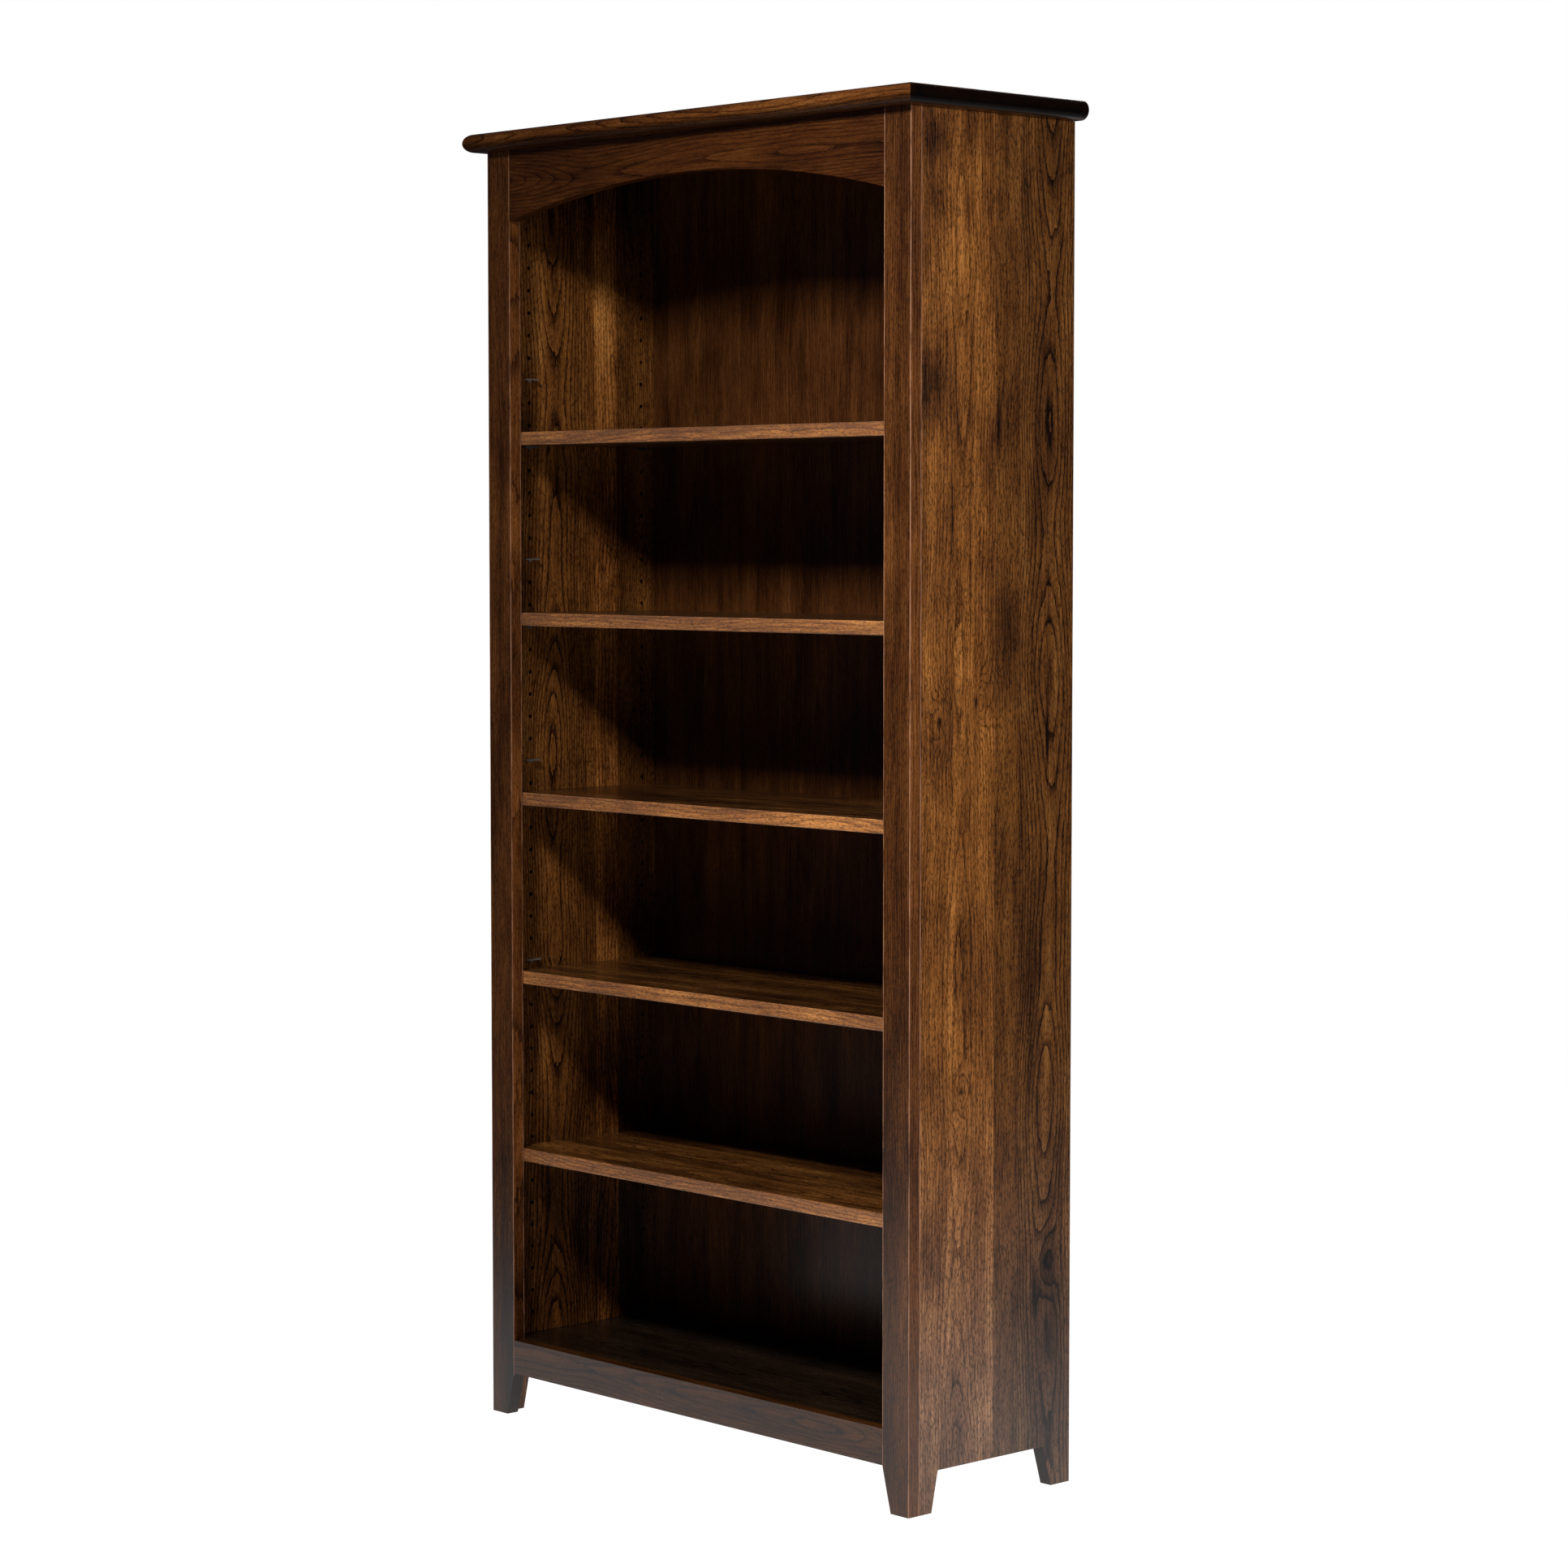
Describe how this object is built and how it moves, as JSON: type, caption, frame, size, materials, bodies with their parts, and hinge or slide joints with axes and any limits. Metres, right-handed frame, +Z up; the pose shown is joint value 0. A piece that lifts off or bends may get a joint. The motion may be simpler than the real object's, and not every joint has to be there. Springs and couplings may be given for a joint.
{
  "type": "bookcase",
  "caption": "Tall open solid-wood bookcase with an arched top rail, bull-nosed top, tapered feet and loose shelves on pull-out supports in rows of holes.",
  "frame": {"origin": "on the floor, under the middle of the top board", "axes": "+Z up, the open front faces -Y, +X to the right as seen from the front"},
  "size_m": [0.908, 0.326, 1.8293],
  "materials": {
    "case_wood": "satin varnish over dark walnut stain",
    "frame_wood": "satin varnish over dark walnut stain",
    "shelf_wood": "satin varnish over dark walnut stain",
    "back_wood": "thin stained panel, satin",
    "support_steel": "nickel plated",
    "screw_steel": "zinc plated"
  },
  "bodies": {
    "case": {"top_board": "case_wood", "left_side_panel": "case_wood", "right_side_panel": "case_wood", "left_stile": "frame_wood", "right_stile": "frame_wood", "arched_top_rail": "frame_wood", "bottom_rail": "frame_wood", "bottom_shelf": "shelf_wood", "back_panel": "back_wood", "front_cleat": "case_wood", "back_cleat": "case_wood", "top_screw_front_1": "screw_steel", "top_screw_front_2": "screw_steel", "top_screw_front_3": "screw_steel", "top_screw_back_1": "screw_steel", "top_screw_back_2": "screw_steel", "top_screw_back_3": "screw_steel", "back_screw_left_1": "screw_steel", "back_screw_left_2": "screw_steel", "back_screw_left_3": "screw_steel", "back_screw_right_1": "screw_steel", "back_screw_right_2": "screw_steel", "back_screw_right_3": "screw_steel", "back_screw_bottom_1": "screw_steel", "back_screw_bottom_2": "screw_steel", "back_screw_top_1": "screw_steel", "back_screw_top_2": "screw_steel"},
    "shelf_1": {"shelf_1": "shelf_wood"},
    "shelf_2": {"shelf_2": "shelf_wood"},
    "shelf_3": {"shelf_3": "shelf_wood"},
    "shelf_4": {"shelf_4": "shelf_wood"},
    "shelf_5": {"shelf_5": "shelf_wood"},
    "support_1_front_left": {"support_1_front_left": "support_steel"},
    "support_1_front_right": {"support_1_front_right": "support_steel"},
    "support_1_back_left": {"support_1_back_left": "support_steel"},
    "support_1_back_right": {"support_1_back_right": "support_steel"},
    "support_2_front_left": {"support_2_front_left": "support_steel"},
    "support_2_front_right": {"support_2_front_right": "support_steel"},
    "support_2_back_left": {"support_2_back_left": "support_steel"},
    "support_2_back_right": {"support_2_back_right": "support_steel"},
    "support_3_front_left": {"support_3_front_left": "support_steel"},
    "support_3_front_right": {"support_3_front_right": "support_steel"},
    "support_3_back_left": {"support_3_back_left": "support_steel"},
    "support_3_back_right": {"support_3_back_right": "support_steel"},
    "support_4_front_left": {"support_4_front_left": "support_steel"},
    "support_4_front_right": {"support_4_front_right": "support_steel"},
    "support_4_back_left": {"support_4_back_left": "support_steel"},
    "support_4_back_right": {"support_4_back_right": "support_steel"},
    "support_5_front_left": {"support_5_front_left": "support_steel"},
    "support_5_front_right": {"support_5_front_right": "support_steel"},
    "support_5_back_left": {"support_5_back_left": "support_steel"},
    "support_5_back_right": {"support_5_back_right": "support_steel"},
    "spare_support_1": {"spare_support_1": "support_steel"},
    "spare_support_2": {"spare_support_2": "support_steel"},
    "spare_support_3": {"spare_support_3": "support_steel"},
    "spare_support_4": {"spare_support_4": "support_steel"}
  },
  "joints": [
    {"name": "shelf_1_lift", "type": "slide", "parent": "case", "child": "shelf_1", "axis": [0, 0, 1], "range_m": [0, 0.0707]},
    {"name": "shelf_2_lift", "type": "slide", "parent": "case", "child": "shelf_2", "axis": [0, 0, 1], "range_m": [0, 0.0707]},
    {"name": "shelf_3_lift", "type": "slide", "parent": "case", "child": "shelf_3", "axis": [0, 0, 1], "range_m": [0, 0.0387]},
    {"name": "shelf_4_lift", "type": "slide", "parent": "case", "child": "shelf_4", "axis": [0, 0, 1], "range_m": [0, 0.0067]},
    {"name": "shelf_5_lift", "type": "slide", "parent": "case", "child": "shelf_5", "axis": [0, 0, 1], "range_m": [0, 0.2307]},
    {"name": "support_1_front_left_pull", "type": "slide", "parent": "case", "child": "support_1_front_left", "axis": [1, 0, 0], "range_m": [0, 0.01]},
    {"name": "support_1_front_right_pull", "type": "slide", "parent": "case", "child": "support_1_front_right", "axis": [-1, 0, 0], "range_m": [0, 0.01]},
    {"name": "support_1_back_left_pull", "type": "slide", "parent": "case", "child": "support_1_back_left", "axis": [1, 0, 0], "range_m": [0, 0.01]},
    {"name": "support_1_back_right_pull", "type": "slide", "parent": "case", "child": "support_1_back_right", "axis": [-1, 0, 0], "range_m": [0, 0.01]},
    {"name": "support_2_front_left_pull", "type": "slide", "parent": "case", "child": "support_2_front_left", "axis": [1, 0, 0], "range_m": [0, 0.01]},
    {"name": "support_2_front_right_pull", "type": "slide", "parent": "case", "child": "support_2_front_right", "axis": [-1, 0, 0], "range_m": [0, 0.01]},
    {"name": "support_2_back_left_pull", "type": "slide", "parent": "case", "child": "support_2_back_left", "axis": [1, 0, 0], "range_m": [0, 0.01]},
    {"name": "support_2_back_right_pull", "type": "slide", "parent": "case", "child": "support_2_back_right", "axis": [-1, 0, 0], "range_m": [0, 0.01]},
    {"name": "support_3_front_left_pull", "type": "slide", "parent": "case", "child": "support_3_front_left", "axis": [1, 0, 0], "range_m": [0, 0.01]},
    {"name": "support_3_front_right_pull", "type": "slide", "parent": "case", "child": "support_3_front_right", "axis": [-1, 0, 0], "range_m": [0, 0.01]},
    {"name": "support_3_back_left_pull", "type": "slide", "parent": "case", "child": "support_3_back_left", "axis": [1, 0, 0], "range_m": [0, 0.01]},
    {"name": "support_3_back_right_pull", "type": "slide", "parent": "case", "child": "support_3_back_right", "axis": [-1, 0, 0], "range_m": [0, 0.01]},
    {"name": "support_4_front_left_pull", "type": "slide", "parent": "case", "child": "support_4_front_left", "axis": [1, 0, 0], "range_m": [0, 0.01]},
    {"name": "support_4_front_right_pull", "type": "slide", "parent": "case", "child": "support_4_front_right", "axis": [-1, 0, 0], "range_m": [0, 0.01]},
    {"name": "support_4_back_left_pull", "type": "slide", "parent": "case", "child": "support_4_back_left", "axis": [1, 0, 0], "range_m": [0, 0.01]},
    {"name": "support_4_back_right_pull", "type": "slide", "parent": "case", "child": "support_4_back_right", "axis": [-1, 0, 0], "range_m": [0, 0.01]},
    {"name": "support_5_front_left_pull", "type": "slide", "parent": "case", "child": "support_5_front_left", "axis": [1, 0, 0], "range_m": [0, 0.01]},
    {"name": "support_5_front_right_pull", "type": "slide", "parent": "case", "child": "support_5_front_right", "axis": [-1, 0, 0], "range_m": [0, 0.01]},
    {"name": "support_5_back_left_pull", "type": "slide", "parent": "case", "child": "support_5_back_left", "axis": [1, 0, 0], "range_m": [0, 0.01]},
    {"name": "support_5_back_right_pull", "type": "slide", "parent": "case", "child": "support_5_back_right", "axis": [-1, 0, 0], "range_m": [0, 0.01]},
    {"name": "spare_support_1_pull", "type": "slide", "parent": "case", "child": "spare_support_1", "axis": [1, 0, 0], "range_m": [0, 0.01]},
    {"name": "spare_support_2_pull", "type": "slide", "parent": "case", "child": "spare_support_2", "axis": [1, 0, 0], "range_m": [0, 0.01]},
    {"name": "spare_support_3_pull", "type": "slide", "parent": "case", "child": "spare_support_3", "axis": [1, 0, 0], "range_m": [0, 0.01]},
    {"name": "spare_support_4_pull", "type": "slide", "parent": "case", "child": "spare_support_4", "axis": [1, 0, 0], "range_m": [0, 0.01]}
  ]
}
